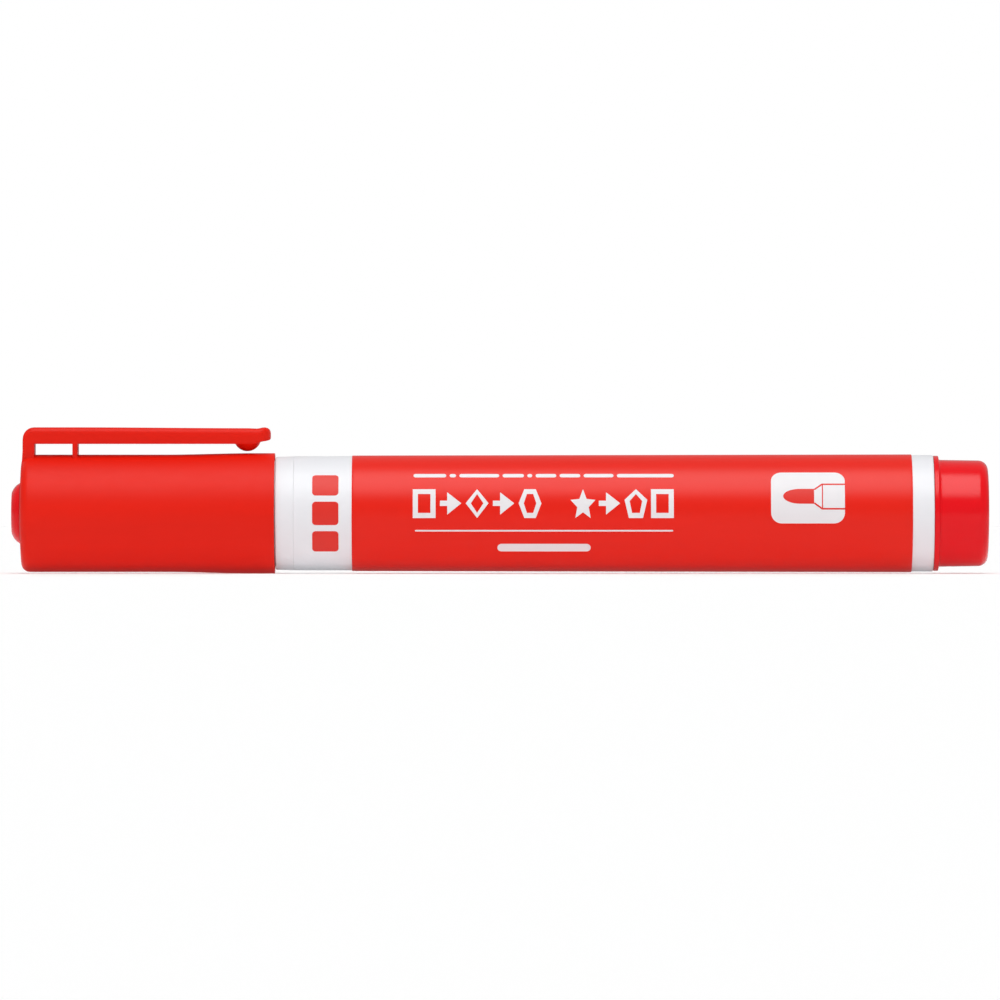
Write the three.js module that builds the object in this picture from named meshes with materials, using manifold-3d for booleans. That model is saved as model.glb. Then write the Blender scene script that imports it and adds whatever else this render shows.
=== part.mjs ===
// A capped whiteboard marker with a bullet nib, in millimetres.
// Frame: the marker's axis is X and the origin is the middle of the tail plug's flat end face.
// +X points out of that face, the cap is towards -X, and +Z is the side that the pocket clip is on.
// Places along the marker are written as distances from the tail end face, so a place d is at x = -d.

import * as THREE from "three";
import { mergeVertices } from "three/addons/utils/BufferGeometryUtils.js";
import Module from "manifold-3d";

const wasm = await Module();
wasm.setup();

// ---------------------------------------------------------------- driving dimensions

const SIDES = 24; // facets round each turned piece; one of them faces straight down
const NIB_SIDES = 20;
const FIT_GAP = 0.05; // between pieces that are pressed together
const WALL = 1.2; // end walls of the cap and the tail plug
const BEAD_RUN = 0.8; // along the marker, each side of a snap bead

// Tail plug
const PLUG_TIP_RADIUS = 7.44;
const PLUG_ROOT_RADIUS = 7.55;
const PLUG_CORNER = 1.35;
const PLUG_BORE_RADIUS = 6.25;
const FLANGE_RADIUS = 8.13;
const FLANGE_FRONT = 7.7;
const FLANGE_BACK = 7;
const PLUG_SPIGOT_END = 16;
const PLUG_RIB_END = 11.7;
const PLUG_RIB_THICKNESS = 1;

// Barrel and its printed sleeve
const BARREL_BACK = FLANGE_FRONT + FIT_GAP;
const BARREL_FRONT = 97.9;
const BARREL_BACK_RADIUS = 8.22;
const BARREL_FRONT_RADIUS = 8.04;
const BARREL_BORE_BACK = 7.4;
const BARREL_BORE_FRONT = 7.15;
const SLEEVE_BACK = 10.8;
const SLEEVE_FRONT = 89.7;
const SLEEVE_GAP = 0.03;
const SLEEVE_THICKNESS = 0.07;

// Front section
const COLLAR_BACK = BARREL_FRONT + FIT_GAP;
const COLLAR_FRONT = 100.45;
const COLLAR_BACK_RADIUS = 8.04;
const COLLAR_FRONT_RADIUS = 7.97;
const SPIGOT_BACK = 90;
const SPIGOT_RADIUS = BARREL_BORE_FRONT - FIT_GAP;
const SPIGOT_BORE = 6.1;
const SPIGOT_CHAMFER = 0.6;
const SEAT_RADIUS = 7.45;
const SEAT_FRONT = 107.6;
const SNAP_BEAD = 105.2;
const SNAP_BEAD_RADIUS = 7.51;
const NECK_BACK = 109.8;
const NECK_BACK_RADIUS = 4.06;
const NECK_FRONT = 116.6;
const NECK_FRONT_RADIUS = 4.0;
const NOSE = 119;
const NOSE_RADIUS = 2.72;
const NIB_BORE = 2.36;
const NIB_BORE_BACK = 107;

// Nib
const NIB_RADIUS = 2.3;
const NIB_TIP = 128;
const BULLET_LENGTH = 4;
const STAKE_FRONT = 103;
const STAKE_BACK = 94.6;
const STAKE_TIP_RADIUS = 1.2;

// Ink reservoir and its wrap
const RESERVOIR_BACK = 12;
const RESERVOIR_FRONT = 101;
const RESERVOIR_RADIUS = 5.85;
const WRAP_GAP = 0.03;
const WRAP_THICKNESS = 0.12;
const WRAP_SETBACK = 0.3;

// Cap
const CAP_MOUTH = 100.6;
const CAP_END = 136.3;
const CAP_RISE = 0.25; // of the domed end, from its edge to the crown
const CAP_RADIUS = 8.28;
const CAP_MOUTH_RADIUS = 8.49;
const CAP_CORNER = 1.15;
const FLARE_BACK = 103.5;
const FLARE_FRONT = 116;
const CAP_BORE_MOUTH = 7.65;
const CAP_BORE_END = 7.35;
const CAP_BEAD = 103.4;
const CAP_BEAD_RADIUS = 7.56;
const CAP_EYE_RADIUS = 3; // hole in the end wall, which the crown's stem passes through
const CAP_RIBS = 6;
const CAP_RIB_THICKNESS = 0.9;
const CAP_RIB_BACK = 112.5;

// Crown: the button on the cap's closed end
const CROWN_FACE = 137.75;
const CROWN_FACE_RADIUS = 3.05;
const CROWN_RADIUS = 4.3;
const CROWN_SHOULDER_RADIUS = 2.2; // of the rounded shoulder, whose centre is off the axis
const CROWN_SHOULDER_CENTRE = [135.65, 2.29];
const CROWN_SHOULDER_FOOT = 62; // degrees from the axis
const CROWN_SHOULDER_TOP = 24;
const CROWN_STEM_RADIUS = 2.95;

// Inner cap, which seals on the neck
const LINER_MOUTH = 111.4;
const LINER_LAND_FRONT = 115.2;
const LINER_LAND_RADIUS = 4.12;
const LINER_BORE = 4.35;
const LINER_RADIUS = 5.3;
const LINER_DEPTH = 132.9;
const LINER_FLOOR = 133.95;
const LINER_FLANGE_RADIUS = 6.9;

// Pocket clip
const CLIP_TOP = 12.13;
const CLIP_UNDERSIDE = 9.8;
const CLIP_WIDTH = 5.8;
const CLIP_TIP_WIDTH = 4.9;
const CLIP_EDGE_RADIUS = 0.8;
const CLIP_BEND = 1.6; // outer radius where the post turns into the arm
const CLIP_POST_THICKNESS = 1.8;
const CLIP_POST_LEAN = 0.15; // towards the tail, from the post's foot to its top
const CLIP_POST_FOOT = 6.3;
const CLIP_FOOT = 7.55;
const STRUT_BACK = 128.4;
const STRUT_THICKNESS = 0.72;
const CLIP_TIP = 101.2;
const CLIP_TIP_CORNER = 1.5;
const CLIP_JOINT_GAP = 0.12;
const BUMP_PLACE = 104.5;
const BUMP_RADIUS = 1.95;
const BUMP_HEIGHT = 10.72;

// ---------------------------------------------------------------- helpers

const UPRIGHT = -Math.PI / 2; // turns a shape's own Y axis onto X

/** Points of an arc in a profile, between two angles from the axis in radians. */
function arc(centre, radius, from, to, steps = 4) {
  return Array.from({ length: steps + 1 }, (_, i) => {
    const angle = from + ((to - from) * i) / steps;
    return [centre[0] + radius * Math.cos(angle), centre[1] + radius * Math.sin(angle)];
  });
}

/** The value at place d on the straight line from [d0, v0] to [d1, v1]. */
function between(d, [d0, v0], [d1, v1]) {
  return v0 + ((v1 - v0) * (d - d0)) / (d1 - d0);
}

/** A solid of manifold-3d from a closed three.js geometry. */
function solidOf(geometry) {
  const bare = geometry.index ? geometry.toNonIndexed() : geometry.clone();
  bare.deleteAttribute("normal");
  bare.deleteAttribute("uv");
  const merged = mergeVertices(bare, 1e-4);
  const corners = merged.index.array;
  const kept = [];
  for (let i = 0; i < corners.length; i += 3) {
    const [a, b, c] = corners.slice(i, i + 3);
    if (a !== b && b !== c && c !== a) kept.push(a, b, c);
  }
  return new wasm.Manifold(
    new wasm.Mesh({
      numProp: 3,
      vertProperties: merged.attributes.position.array,
      triVerts: new Uint32Array(kept),
    }),
  );
}

/** The three.js geometry of a manifold-3d solid. */
function geometryOf(solid) {
  const mesh = solid.getMesh();
  const positions = new THREE.BufferAttribute(new Float32Array(mesh.vertProperties), 3);
  return new THREE.BufferGeometry()
    .setAttribute("position", positions)
    .setIndex(new THREE.BufferAttribute(new Uint32Array(mesh.triVerts), 1));
}

/** A turned solid about the X axis, from an outline of [place, radius] that goes round either way. */
function turned(profile, sides = SIDES) {
  const onAxis = profile[0][1] === 0 && profile.at(-1)[1] === 0;
  const outline = onAxis ? profile : [...profile, profile[0]];
  const points = outline.map(([place, radius]) => new THREE.Vector2(radius, -place));
  if (THREE.ShapeUtils.isClockWise(points)) points.reverse();
  const lathe = new THREE.LatheGeometry(points, sides, Math.PI / sides);
  return solidOf(lathe.rotateZ(UPRIGHT));
}

/** A prism across the marker, from an outline of [place, height] seen from the side. */
function sideCut(outline, width) {
  const shape = new THREE.Shape(outline.map(([place, height]) => new THREE.Vector2(-place, height)));
  const prism = new THREE.ExtrudeGeometry(shape, { depth: width, bevelEnabled: false });
  return solidOf(prism.translate(0, 0, -width / 2).rotateX(Math.PI / 2));
}

/** A box from its lowest to its highest corner. */
function block(low, high) {
  const size = low.map((value, i) => high[i] - value);
  const middle = low.map((value, i) => (value + high[i]) / 2);
  return solidOf(new THREE.BoxGeometry(...size).translate(...middle));
}

// ---------------------------------------------------------------- barrel assembly

/** Outer radius of the barrel at place d: it widens towards the tail, as a moulded tube does. */
function barrelRadius(d) {
  return between(d, [BARREL_BACK, BARREL_BACK_RADIUS], [BARREL_FRONT, BARREL_FRONT_RADIUS]);
}

function barrel() {
  return turned([
    [BARREL_BACK, BARREL_BORE_BACK],
    [BARREL_BACK, BARREL_BACK_RADIUS],
    [BARREL_FRONT, BARREL_FRONT_RADIUS],
    [BARREL_FRONT, BARREL_BORE_FRONT],
  ]);
}

function printedSleeve() {
  const skin = (d, height) => [d, barrelRadius(d) + height];
  return turned([
    skin(SLEEVE_BACK, SLEEVE_GAP),
    skin(SLEEVE_BACK, SLEEVE_GAP + SLEEVE_THICKNESS),
    skin(SLEEVE_FRONT, SLEEVE_GAP + SLEEVE_THICKNESS),
    skin(SLEEVE_FRONT, SLEEVE_GAP),
  ]);
}

function tailPlug() {
  const cornerCentre = [PLUG_CORNER, PLUG_TIP_RADIUS - PLUG_CORNER];
  const spigotRadius = BARREL_BORE_BACK - FIT_GAP - SLEEVE_GAP;
  let plug = turned([
    [0, 0],
    ...arc(cornerCentre, PLUG_CORNER, Math.PI, Math.PI / 2),
    [FLANGE_BACK, PLUG_ROOT_RADIUS],
    [FLANGE_BACK, FLANGE_RADIUS],
    [FLANGE_FRONT, FLANGE_RADIUS],
    [FLANGE_FRONT, spigotRadius],
    [PLUG_SPIGOT_END - SPIGOT_CHAMFER, spigotRadius],
    [PLUG_SPIGOT_END, spigotRadius - SPIGOT_CHAMFER / 2],
    [PLUG_SPIGOT_END, PLUG_BORE_RADIUS],
    [WALL, PLUG_BORE_RADIUS],
    [WALL, 0],
  ]);
  // Two crossed ribs inside the plug hold the reservoir forward.
  const reach = PLUG_BORE_RADIUS + WALL / 4;
  const half = PLUG_RIB_THICKNESS / 2;
  plug = plug.add(block([-PLUG_RIB_END, -reach, -half], [-WALL / 2, reach, half]));
  return plug.add(block([-PLUG_RIB_END, -half, -reach], [-WALL / 2, half, reach]));
}

function frontSection() {
  const shoulder = 0.5; // chamfers between the seat and the neck
  const stop = RESERVOIR_FRONT + 0.3; // the step that the reservoir is pushed up to
  const stopHeight = 1;
  const lead = 0.6; // chamfer that leads the nib into its bore
  return turned([
    [NOSE, NIB_BORE],
    [NOSE, NOSE_RADIUS],
    [NECK_FRONT, NECK_FRONT_RADIUS],
    [NECK_BACK, NECK_BACK_RADIUS],
    [NECK_BACK - shoulder, NECK_BACK_RADIUS + shoulder],
    [SEAT_FRONT + shoulder, SEAT_RADIUS - shoulder],
    [SEAT_FRONT, SEAT_RADIUS],
    [SNAP_BEAD + BEAD_RUN, SEAT_RADIUS],
    [SNAP_BEAD, SNAP_BEAD_RADIUS],
    [SNAP_BEAD - BEAD_RUN, SEAT_RADIUS],
    [COLLAR_FRONT, SEAT_RADIUS],
    [COLLAR_FRONT, COLLAR_FRONT_RADIUS],
    [COLLAR_BACK, COLLAR_BACK_RADIUS],
    [COLLAR_BACK, SPIGOT_RADIUS],
    [SPIGOT_BACK + SPIGOT_CHAMFER, SPIGOT_RADIUS],
    [SPIGOT_BACK, SPIGOT_RADIUS - SPIGOT_CHAMFER / 2],
    [SPIGOT_BACK, SPIGOT_BORE],
    [stop, SPIGOT_BORE],
    [stop, SPIGOT_BORE - stopHeight],
    [NIB_BORE_BACK, NIB_BORE + lead],
    [NIB_BORE_BACK + lead, NIB_BORE],
  ]);
}

/** Radius of the nib's back end at place d, which tapers into a stake. */
function stakeRadius(d) {
  return between(d, [STAKE_BACK, STAKE_TIP_RADIUS], [STAKE_FRONT, NIB_RADIUS]);
}

function nib() {
  const steps = 7;
  const point = 0.5; // chamfer of the stake's tip
  const bullet = Array.from({ length: steps }, (_, i) => {
    const angle = (Math.PI / 2) * (i / steps);
    return [NIB_TIP - BULLET_LENGTH * (1 - Math.cos(angle)), NIB_RADIUS * Math.sin(angle)];
  });
  return turned(
    [
      ...bullet,
      [NIB_TIP - BULLET_LENGTH, NIB_RADIUS],
      [STAKE_FRONT, NIB_RADIUS],
      [STAKE_BACK, STAKE_TIP_RADIUS],
      [STAKE_BACK - point, STAKE_TIP_RADIUS - point],
      [STAKE_BACK - point, 0],
    ],
    NIB_SIDES,
  );
}

function reservoir() {
  const room = 0.08; // round the nib's stake
  const pocketBack = STAKE_BACK - 0.7;
  return turned([
    [RESERVOIR_BACK, 0],
    [RESERVOIR_BACK, RESERVOIR_RADIUS],
    [RESERVOIR_FRONT, RESERVOIR_RADIUS],
    [RESERVOIR_FRONT, stakeRadius(RESERVOIR_FRONT) + room],
    [pocketBack, STAKE_TIP_RADIUS + room],
    [pocketBack, 0],
  ]);
}

function reservoirWrap() {
  const inside = RESERVOIR_RADIUS + WRAP_GAP;
  const back = RESERVOIR_BACK + WRAP_SETBACK;
  const front = RESERVOIR_FRONT - WRAP_SETBACK;
  return turned([
    [back, inside],
    [back, inside + WRAP_THICKNESS],
    [front, inside + WRAP_THICKNESS],
    [front, inside],
  ]);
}

// ---------------------------------------------------------------- cap assembly

/** Outer radius of the cap at place d: a straight body that flares smoothly at the mouth. */
function capRadius(d) {
  const share = THREE.MathUtils.smoothstep(-d, -FLARE_FRONT, -FLARE_BACK);
  return CAP_RADIUS + (CAP_MOUTH_RADIUS - CAP_RADIUS) * share;
}

/** Radius of the cap's bore at place d. */
function capBore(d) {
  return between(d, [CAP_MOUTH, CAP_BORE_MOUTH], [CAP_END, CAP_BORE_END]);
}

/** The cross-section of the clip, with its two long upper edges rounded, as a bar along the marker. */
function clipBar() {
  const half = CLIP_WIDTH / 2;
  const edge = CLIP_EDGE_RADIUS;
  const length = CAP_END - CLIP_TIP + 2;
  const shape = new THREE.Shape();
  shape.moveTo(-half, CLIP_POST_FOOT - 1);
  shape.lineTo(half, CLIP_POST_FOOT - 1);
  shape.lineTo(half, CLIP_TOP - edge);
  shape.absarc(half - edge, CLIP_TOP - edge, edge, 0, Math.PI / 2, false);
  shape.absarc(edge - half, CLIP_TOP - edge, edge, Math.PI / 2, Math.PI, false);
  const bar = new THREE.ExtrudeGeometry(shape, { depth: length, bevelEnabled: false, curveSegments: 3 });
  // The shape's X and Y become the part's Y and Z, and the bar runs along X.
  bar.rotateX(Math.PI / 2).rotateZ(Math.PI / 2);
  return solidOf(bar.translate(-CAP_END - 1, 0, 0));
}

/** The post, the first stretch of the arm and the strut, which are moulded with the cap and stay rigid. */
function clipRoot() {
  const bendCentre = [CAP_END - CLIP_POST_LEAN - CLIP_BEND, CLIP_TOP - CLIP_BEND];
  const postBack = CAP_END - CLIP_POST_THICKNESS;
  const strutFront = STRUT_BACK + STRUT_THICKNESS;
  const outline = [
    [CAP_END, CLIP_POST_FOOT],
    ...arc(bendCentre, CLIP_BEND, 0, Math.PI / 2),
    [STRUT_BACK, CLIP_TOP],
    [STRUT_BACK, CLIP_FOOT],
    [strutFront, CLIP_FOOT],
    [strutFront, CLIP_UNDERSIDE],
    [postBack, CLIP_UNDERSIDE],
    [postBack, CLIP_FOOT],
    [CAP_END - WALL + 0.1, CLIP_FOOT],
    [CAP_END - WALL + 0.1, CLIP_POST_FOOT],
  ];
  return sideCut(outline, CLIP_WIDTH + 1).intersect(clipBar());
}

/** Ribs inside the cap that hold the inner cap in the middle. */
function capRibs() {
  const inside = LINER_RADIUS + 0.1;
  const outside = CAP_BORE_END + 0.2;
  const half = CAP_RIB_THICKNESS / 2;
  const front = LINER_FLOOR - 0.25;
  return Array.from({ length: CAP_RIBS }, (_, i) => {
    const turn = ((i + 0.5) * 360) / CAP_RIBS;
    return block([-front, -half, inside], [-CAP_RIB_BACK, half, outside]).rotate([turn, 0, 0]);
  });
}

function capShell() {
  const cornerCentre = [CAP_END - CAP_CORNER, CAP_RADIUS - CAP_CORNER];
  const flareSteps = 6;
  const lead = 0.25; // chamfer inside the mouth
  const flare = Array.from({ length: flareSteps + 1 }, (_, i) => {
    const d = between(i, [0, FLARE_FRONT], [flareSteps, FLARE_BACK]);
    return [d, capRadius(d)];
  });
  const inner = CAP_END - WALL;
  const shell = turned([
    [inner, CAP_EYE_RADIUS],
    [inner, capBore(inner)],
    [CAP_BEAD + BEAD_RUN, capBore(CAP_BEAD + BEAD_RUN)],
    [CAP_BEAD, CAP_BEAD_RADIUS],
    [CAP_BEAD - BEAD_RUN, capBore(CAP_BEAD - BEAD_RUN)],
    [CAP_MOUTH + lead, capBore(CAP_MOUTH)],
    [CAP_MOUTH, CAP_BORE_MOUTH + lead],
    [CAP_MOUTH, CAP_MOUTH_RADIUS],
    ...flare.reverse(),
    ...arc(cornerCentre, CAP_CORNER, Math.PI / 2, 0),
    [CAP_END + CAP_RISE, CROWN_RADIUS],
    [CAP_END + CAP_RISE, CAP_EYE_RADIUS],
  ]);
  return [clipRoot(), ...capRibs()].reduce((whole, piece) => whole.add(piece), shell);
}

/** Seen from the side, the clip's arm: a straight bar, with a shallow dip before its turned-up tip. */
function armOutline() {
  const top = CLIP_TOP;
  const root = STRUT_BACK - CLIP_JOINT_GAP;
  return [
    [root, CLIP_UNDERSIDE],
    [root, top],
    [BUMP_PLACE, top - 0.17],
    [CLIP_TIP + 2.5, top - 0.2],
    [CLIP_TIP + 1, top - 0.06],
    [CLIP_TIP + 0.6, top - 0.08],
    [CLIP_TIP + 0.2, top - 0.25],
    [CLIP_TIP, top - 0.65],
    [CLIP_TIP, CLIP_UNDERSIDE + 0.55],
    [CLIP_TIP + 0.3, CLIP_UNDERSIDE + 0.3],
    [CLIP_TIP + 2.4, CLIP_UNDERSIDE],
  ];
}

/** Seen from above, the clip's arm narrows towards a rounded tip. */
function armPlan() {
  const half = CLIP_TIP_WIDTH / 2;
  const corner = CLIP_TIP_CORNER;
  const shape = new THREE.Shape();
  shape.moveTo(-CLIP_TIP - corner, half);
  shape.absarc(-CLIP_TIP - corner, half - corner, corner, Math.PI / 2, 0, true);
  shape.absarc(-CLIP_TIP - corner, corner - half, corner, 0, -Math.PI / 2, true);
  shape.lineTo(-STRUT_BACK, -CLIP_WIDTH / 2);
  shape.lineTo(-STRUT_BACK, CLIP_WIDTH / 2);
  const depth = 8;
  const prism = new THREE.ExtrudeGeometry(shape, { depth, bevelEnabled: false, curveSegments: 4 });
  return solidOf(prism.translate(0, 0, CLIP_TOP - depth + 1));
}

function clipArm() {
  const bump = new THREE.SphereGeometry(BUMP_RADIUS, 20, 12).translate(-BUMP_PLACE, 0, BUMP_HEIGHT);
  const ceiling = CLIP_UNDERSIDE + 1;
  const reach = BUMP_RADIUS + 1;
  const underArm = block([-BUMP_PLACE - reach, -reach, 0], [-BUMP_PLACE + reach, reach, ceiling]);
  const arm = sideCut(armOutline(), CLIP_WIDTH + 1).intersect(clipBar()).intersect(armPlan());
  return arm.add(solidOf(bump).intersect(underArm));
}

function crown() {
  const base = CAP_END + CAP_RISE + FIT_GAP;
  const foot = THREE.MathUtils.degToRad(CROWN_SHOULDER_FOOT);
  const top = THREE.MathUtils.degToRad(CROWN_SHOULDER_TOP);
  return turned([
    [LINER_FLOOR + FIT_GAP, 0],
    [LINER_FLOOR + FIT_GAP, CROWN_STEM_RADIUS],
    [base, CROWN_STEM_RADIUS],
    [base, CROWN_RADIUS],
    ...arc(CROWN_SHOULDER_CENTRE, CROWN_SHOULDER_RADIUS, foot, top),
    [CROWN_FACE, CROWN_FACE_RADIUS],
    [CROWN_FACE, 0],
  ]);
}

function innerCap() {
  const back = CAP_END - WALL - FIT_GAP;
  const socket = CROWN_STEM_RADIUS + FIT_GAP;
  const lead = 0.6; // along the marker, of the chamfers at the mouth and past the sealing land
  return turned([
    [LINER_DEPTH, 0],
    [LINER_DEPTH, LINER_BORE],
    [LINER_LAND_FRONT + lead, LINER_BORE],
    [LINER_LAND_FRONT, LINER_LAND_RADIUS],
    [LINER_MOUTH + lead, LINER_LAND_RADIUS],
    [LINER_MOUTH, LINER_LAND_RADIUS + 0.4],
    [LINER_MOUTH, LINER_RADIUS - 0.2],
    [LINER_MOUTH + lead, LINER_RADIUS],
    [LINER_FLOOR, LINER_RADIUS],
    [LINER_FLOOR, LINER_FLANGE_RADIUS],
    [back, LINER_FLANGE_RADIUS],
    [back, socket],
    [LINER_FLOOR, socket],
    [LINER_FLOOR, 0],
  ]);
}

// ---------------------------------------------------------------- materials and assembly

function plastic(color, roughness) {
  return new THREE.MeshStandardMaterial({ color, roughness, metalness: 0 });
}

const capRed = plastic(0xe02a16, 0.38);
const crimson = plastic(0xd8102a, 0.22);
const white = plastic(0xf2f2f4, 0.3);
const printedRed = plastic(0xe4220f, 0.3);
const milky = plastic(0xe9e6de, 0.5);
const wetFelt = plastic(0xb01018, 0.85);
const fibre = plastic(0xc9303a, 0.95);
const clearFilm = plastic(0xe8e4e4, 0.15);

const pieces = [
  ["barrel", barrel(), white],
  ["printed_sleeve", printedSleeve(), printedRed],
  ["tail_plug", tailPlug(), crimson],
  ["front_section", frontSection(), white],
  ["bullet_nib", nib(), wetFelt],
  ["ink_reservoir", reservoir(), fibre],
  ["reservoir_wrap", reservoirWrap(), clearFilm],
  ["cap_shell", capShell(), capRed],
  ["clip_arm", clipArm(), capRed],
  ["cap_crown", crown(), crimson],
  ["inner_cap", innerCap(), milky],
];

const marker = new THREE.Group();
for (const [name, solid, material] of pieces) {
  const mesh = new THREE.Mesh(geometryOf(solid), material);
  mesh.name = name;
  marker.add(mesh);
}

export default marker;
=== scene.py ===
"""Looks of a capped whiteboard marker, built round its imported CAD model.

Everything is in metres, in the CAD frame: the marker's axis is X, the origin is the middle of the tail's
end face, the cap is towards -X and the pocket clip is on the +Z side.
Sizes below are in millimetres. A place along the marker is its distance from the tail's end face, so a
place d is at x = -d. The front line is the line along the marker that faces -Y.
"""

import math

import bmesh
import bpy
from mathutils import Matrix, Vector


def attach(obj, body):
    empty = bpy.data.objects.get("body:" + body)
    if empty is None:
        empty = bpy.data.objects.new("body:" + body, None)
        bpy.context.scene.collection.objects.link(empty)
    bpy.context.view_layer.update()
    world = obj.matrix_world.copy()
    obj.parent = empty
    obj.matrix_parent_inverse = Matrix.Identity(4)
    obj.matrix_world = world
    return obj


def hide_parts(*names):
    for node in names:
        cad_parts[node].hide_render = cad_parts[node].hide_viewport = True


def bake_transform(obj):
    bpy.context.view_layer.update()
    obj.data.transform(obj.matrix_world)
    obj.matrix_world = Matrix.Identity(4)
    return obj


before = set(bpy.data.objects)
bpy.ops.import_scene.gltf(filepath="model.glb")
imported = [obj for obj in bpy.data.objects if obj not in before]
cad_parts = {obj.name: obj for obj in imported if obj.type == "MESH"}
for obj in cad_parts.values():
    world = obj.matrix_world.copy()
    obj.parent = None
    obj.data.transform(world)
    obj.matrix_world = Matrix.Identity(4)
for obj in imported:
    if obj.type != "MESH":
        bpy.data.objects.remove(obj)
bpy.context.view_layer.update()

MM = 0.001
SIDES = 144  # facets round a turned piece
SHARP_ANGLE = 38  # degrees between two faces, above which their edge is sharp

# ------------------------------------------------------------------ sizes, as in the CAD model

PLUG_TIP_RADIUS = 7.44
PLUG_ROOT_RADIUS = 7.55
FLANGE_RADIUS = 8.13
FLANGE_BACK = 7
FLANGE_FRONT = 7.7
PLUG_BORE_RADIUS = 6.25
PLUG_SPIGOT_RADIUS = 7.32
PLUG_SPIGOT_END = 16
PLUG_RIB_END = 11.7
PLUG_RIB_START = 0.6
PLUG_RIB_HALF = 0.5
PLUG_WALL = 1.2  # thickness of its closed end

BARREL_BACK = 7.75
BARREL_FRONT = 97.9
BARREL_BACK_RADIUS = 8.22
BARREL_FRONT_RADIUS = 8.04
BARREL_BORE_BACK = 7.4
BARREL_BORE_FRONT = 7.15
FILM_BACK = 10.8
FILM_FRONT = 89.7
FILM_GAP = 0.03  # between the barrel and the film
FILM_TOP = 0.1  # the film's outside, above the barrel

COLLAR_BACK = 97.91
COLLAR_FRONT = 100.45
SPIGOT_BACK = 90
SPIGOT_RADIUS = 7.1
SPIGOT_BORE_RADIUS = 6.1
SPIGOT_BORE_FRONT = 101.3
SEAT_RADIUS = 7.45
SEAT_FRONT = 107.6
SNAP_BEAD = 105.2
BEAD_HALF = 0.8  # half the length of a snap bead, on the seat and in the cap
NECK_BACK = 109.8
NECK_FRONT = 116.6
NECK_RADIUS = 4.06
NOSE = 119
NIB_BORE_RADIUS = 2.36

NIB_TIP = 128
NIB_RADIUS = 2.3
BULLET_LENGTH = 4
NIB_BACK = 94.1
NIB_STAKE_RADIUS = 1.2

CAP_MOUTH = 100.6
CAP_END = 136.3
CAP_RISE = 0.25  # of the domed end, from its edge to the button
CAP_RADIUS = 8.28
CAP_MOUTH_RADIUS = 8.49
FLARE_BACK = 103.5
FLARE_FRONT = 116
CAP_BORE_MOUTH = 7.65
CAP_BORE_END = 7.35
CAP_BEAD = 103.4
CAP_BEAD_RADIUS = 7.56
END_WALL = 135.1
CAP_EYE_RADIUS = 3
CAP_RIBS = 6
CAP_RIB_BACK = 112.5
CAP_RIB_HALF = 0.45
CAP_RIB_TOP = 7.55

CROWN_FACE = 137.75
CROWN_FACE_RADIUS = 3.05
CROWN_RADIUS = 4.3
CROWN_SHOULDER_RADIUS = 2.2
CROWN_SHOULDER_CENTRE = (135.65, 2.29)
CROWN_SHOULDER_FOOT = 62  # degrees from the axis
CROWN_SHOULDER_TOP = 24
CROWN_STEM_RADIUS = 2.95

LINER_MOUTH = 111.4
LINER_RADIUS = 5.3
LINER_FLOOR = 133.95
LINER_FLOOR_INSIDE = 132.9
LINER_BORE_RADIUS = 4.35
LINER_SEAL_RADIUS = 4.12
LINER_FLANGE_RADIUS = 6.9
LINER_HOLE_RADIUS = 3.0

CLIP_TOP = 12.13
CLIP_UNDERSIDE = 9.8
CLIP_HALF_WIDTH = 2.9
CLIP_TIP_HALF_WIDTH = 2.45
CLIP_EDGE_RADIUS = 0.8
CLIP_BEND = 1.6
CLIP_BEND_SLOPE = 0.6  # fall of the underside in the bend, for each unit of length
CLIP_POST_BACK = 134.5
CLIP_POST_LEAN = 0.15  # towards the tail, from the post's foot to its top
CLIP_FOOT = 7.55
CLIP_POST_FOOT = 6.3
STRUT_FRONT = 129.12
STRUT_BACK = 128.4
CLIP_TIP = 101.2
CLIP_TIP_CORNER = 1.5
CLIP_TIP_EDGE = 0.8  # rounding of the tip's top edge, seen from the side
CLIP_TIP_LOWER_EDGE = 0.3
CLIP_TIP_RISE = 0.55  # of the underside, at the tip
CLIP_BEVEL = 0.16
BUMP_PLACE = 104.5
BUMP_RADIUS = 1.95
BUMP_HEIGHT = 10.72

INK_HEIGHT = 0.03
INK_ROOT = -0.02  # the bottom of the ink, just inside the surface it lies on


# ------------------------------------------------------------------ meshes

def finished(name, build, sharp_angle=SHARP_ANGLE):
    """Turns a bmesh in millimetres into a smooth-shaded object in metres."""
    bmesh.ops.recalc_face_normals(build, faces=build.faces)
    bmesh.ops.scale(build, vec=(MM, MM, MM), verts=build.verts)
    mesh = bpy.data.meshes.new(name)
    build.to_mesh(mesh)
    build.free()
    mesh.shade_smooth()
    mesh.set_sharp_from_angle(angle=math.radians(sharp_angle))
    piece = bpy.data.objects.new(name, mesh)
    bpy.context.scene.collection.objects.link(piece)
    return piece


def rounded(corners, steps=5):
    """Outline of a turned piece, whose corners are [place, radius] or [place, radius, fillet]."""
    outline = []
    for i, (place, radius, *fillet) in enumerate(corners):
        corner = Vector((place, radius))
        if not fillet:
            outline.append(corner)
            continue
        before = (Vector(corners[i - 1][:2]) - corner).normalized()
        after = (Vector(corners[(i + 1) % len(corners)][:2]) - corner).normalized()
        half = before.angle(after) / 2
        centre = corner + (before + after).normalized() * fillet[0] / math.sin(half)
        reach = fillet[0] / math.tan(half)
        start = corner + before * reach - centre
        stop = corner + after * reach - centre
        for step in range(steps + 1):
            outline.append(centre + start.slerp(stop, step / steps) * fillet[0])
    return held(outline)


def held(outline, margin=0.4):
    """Adds a point near both ends of each long straight run, so that a corner doesn't tilt its shading."""
    points = [outline[0]]
    for first, last in zip(outline, outline[1:]):
        run = last - first
        if run.length > 4 * margin:
            step = run.normalized() * margin
            points += [first + step, last - step]
        points.append(last)
    return points


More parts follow.
